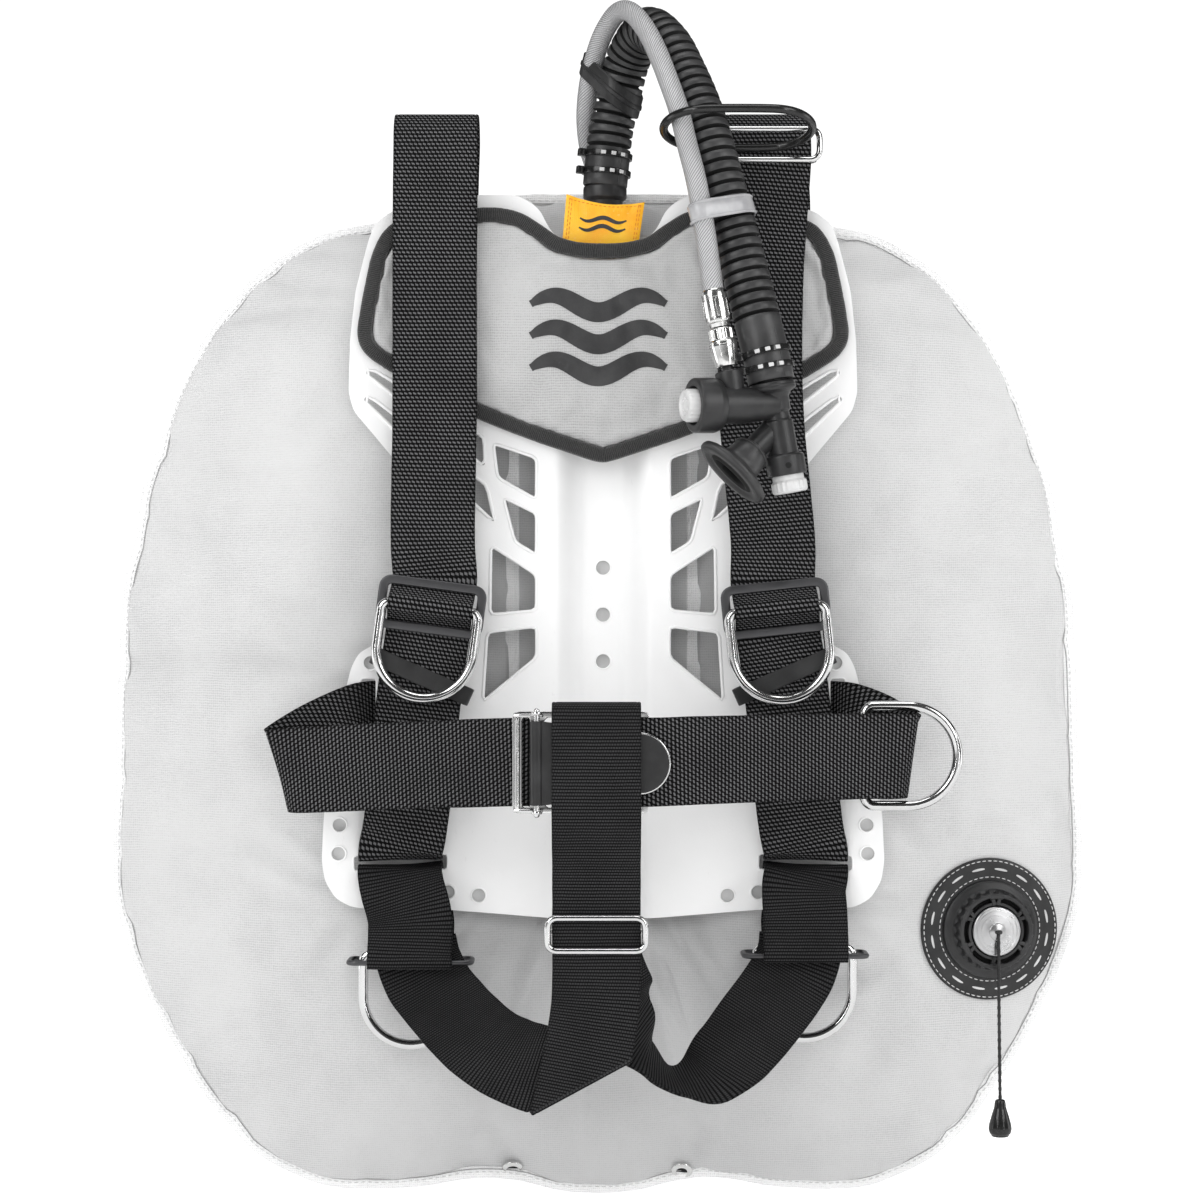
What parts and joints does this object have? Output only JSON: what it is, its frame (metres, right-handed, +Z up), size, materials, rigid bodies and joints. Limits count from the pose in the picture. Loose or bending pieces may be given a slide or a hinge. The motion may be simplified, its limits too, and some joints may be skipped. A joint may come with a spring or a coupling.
{
  "type": "buoyancy compensator vest",
  "caption": "Backplate-and-wing diving buoyancy compensator: air cell, pressed plate, webbing harness with D-rings, corrugated inflator hose and dump valve",
  "frame": {"origin": "middle of the flat centre panel's rear face, midway between the two tank-bolt holes", "axes": "+Z up towards the wearer's head, +Y away from the wearer towards the tank, +X towards the wearer's left"},
  "size_m": [0.6036, 0.2439, 0.7257],
  "materials": {
    "plate_white": "satin white powder coat",
    "cloth_grey": "light grey woven nylon",
    "pad_grey": "grey padded fabric",
    "tape_dark": "charcoal binding tape",
    "bladder_film": "translucent film",
    "webbing_black": "black nylon webbing",
    "rubber_black": "matte",
    "plastic_black": "moulded, slightly textured",
    "plastic_pale": "light grey moulded",
    "steel_polished": "polished stainless steel",
    "steel_brushed": "dark brushed",
    "brass_plated": "nickel plated",
    "braid_grey": "braided light grey",
    "tag_yellow": "amber yellow"
  },
  "bodies": {
    "harness": {"backplate": "plate_white", "wing_front_panel": "cloth_grey", "wing_rear_panel": "cloth_grey", "wing_edge_flange": "cloth_grey", "wing_centre_panel": "cloth_grey", "back_pad": "pad_grey", "pad_binding": "tape_dark", "wing_bladder": "bladder_film", "shoulder_strap_right": "webbing_black", "shoulder_strap_left": "webbing_black", "waist_belt_right": "webbing_black", "waist_belt_left": "webbing_black", "crotch_strap_right": "webbing_black", "thigh_strap_left": "webbing_black", "thigh_loop_right": "webbing_black", "thigh_loop_left": "webbing_black", "corrugated_hose_upper": "rubber_black", "hose_wrap_upper": "rubber_black", "valve_patch": "rubber_black", "rubber_keeper_right": "rubber_black", "rubber_keeper_left": "rubber_black", "hose_elbow": "plastic_black", "cable_tie_base_lower": "plastic_black", "cable_tie_base_upper": "plastic_black", "valve_housing": "plastic_black", "keeper_ring": "plastic_black", "keeper_slider": "steel_polished", "buckle_pin": "steel_polished", "valve_spring": "steel_polished", "shoulder_slider_right": "steel_brushed", "shoulder_slider_left": "steel_brushed", "thigh_slider_right": "steel_brushed", "thigh_slider_left": "steel_brushed", "buckle_frame": "steel_brushed", "drain_grommet_right": "brass_plated", "drain_grommet_left": "brass_plated", "lp_hose_upper": "braid_grey", "hose_tab": "tag_yellow"},
    "inflator": {"corrugated_hose_lower": "rubber_black", "lp_hose_lower": "braid_grey", "hose_clip_lower": "steel_brushed", "cable_tie_end_upper": "plastic_black", "cable_tie_end_lower": "plastic_black", "inflator_body": "plastic_black", "inflate_collar": "plastic_black", "mouthpiece": "rubber_black", "lp_ferrule": "brass_plated"},
    "inflate_button_body": {"inflate_button": "plastic_pale"},
    "deflate_button_body": {"deflate_button": "plastic_pale"},
    "coupling_sleeve_body": {"coupling_sleeve": "brass_plated"},
    "shoulder_ring_right": {"shoulder_d_ring_right": "steel_polished"},
    "shoulder_ring_left": {"shoulder_d_ring_left": "steel_polished"},
    "thigh_ring_right": {"thigh_d_ring_right": "steel_polished"},
    "thigh_ring_left": {"thigh_d_ring_left": "steel_polished"},
    "hip_ring": {"hip_d_ring": "steel_polished"},
    "buckle_lever_body": {"buckle_lever": "plastic_black"},
    "crotch_slider_body": {"crotch_slider": "steel_brushed"},
    "valve_disc": {"valve_pull_disc": "steel_brushed"},
    "cord": {"pull_cord": "rubber_black", "pull_toggle": "plastic_black"}
  },
  "joints": [
    {"name": "inflator_swing", "type": "hinge", "parent": "harness", "child": "inflator", "pos_m": [0.06611, -0.0893, 0.19812], "axis": [-1, 0, 0], "range_deg": [0, 45]},
    {"name": "inflate_press", "type": "slide", "parent": "inflator", "child": "inflate_button_body", "axis": [0.9321, 0.3608, 0.0301], "range_m": [0, 0.0035], "stiffness_N_per_m": 900},
    {"name": "deflate_press", "type": "slide", "parent": "inflator", "child": "deflate_button_body", "axis": [-0.1691, 0, 0.9856], "range_m": [0, 0.0035], "stiffness_N_per_m": 900},
    {"name": "sleeve_release", "type": "slide", "parent": "inflator", "child": "coupling_sleeve_body", "axis": [-0.1782, 0.0809, 0.9807], "range_m": [0, 0.003], "stiffness_N_per_m": 900},
    {"name": "shoulder_ring_right_swing", "type": "hinge", "parent": "harness", "child": "shoulder_ring_right", "pos_m": [-0.1015, -0.066, -0.056], "axis": [-0.9912, 0, 0.1323], "range_deg": [0, 110]},
    {"name": "shoulder_ring_left_swing", "type": "hinge", "parent": "harness", "child": "shoulder_ring_left", "pos_m": [0.102, -0.066, -0.057], "axis": [-0.9945, 0, -0.1045], "range_deg": [0, 110]},
    {"name": "thigh_ring_right_swing", "type": "hinge", "parent": "harness", "child": "thigh_ring_right", "pos_m": [-0.114, -0.0491, -0.262], "axis": [1, 0, 0], "range_deg": [0, 22]},
    {"name": "thigh_ring_left_swing", "type": "hinge", "parent": "harness", "child": "thigh_ring_left", "pos_m": [0.1195, -0.0491, -0.258], "axis": [1, 0, 0], "range_deg": [0, 22]},
    {"name": "hip_ring_swing", "type": "hinge", "parent": "harness", "child": "hip_ring", "pos_m": [0.1535, -0.0695, -0.1434], "axis": [0, 0, 1], "range_deg": [-60, 0]},
    {"name": "buckle_lever_open", "type": "hinge", "parent": "harness", "child": "buckle_lever_body", "pos_m": [-0.0372, -0.1467, -0.1434], "axis": [0, 0, -1], "range_deg": [0, 3]},
    {"name": "crotch_slider_adjust", "type": "slide", "parent": "harness", "child": "crotch_slider_body", "axis": [0, 0, 1], "range_m": [-0.012, 0.012]},
    {"name": "valve_pull", "type": "slide", "parent": "harness", "child": "valve_disc", "axis": [0.1701, -0.9854, 0], "range_m": [0, 0.006], "stiffness_N_per_m": 600, "deforming": ["valve_spring"]},
    {"name": "cord_swing", "type": "hinge", "parent": "valve_disc", "child": "cord", "pos_m": [0.23816, -0.02583, -0.252], "axis": [0.1701, -0.9854, 0], "range_deg": [-30, 30]}
  ]
}
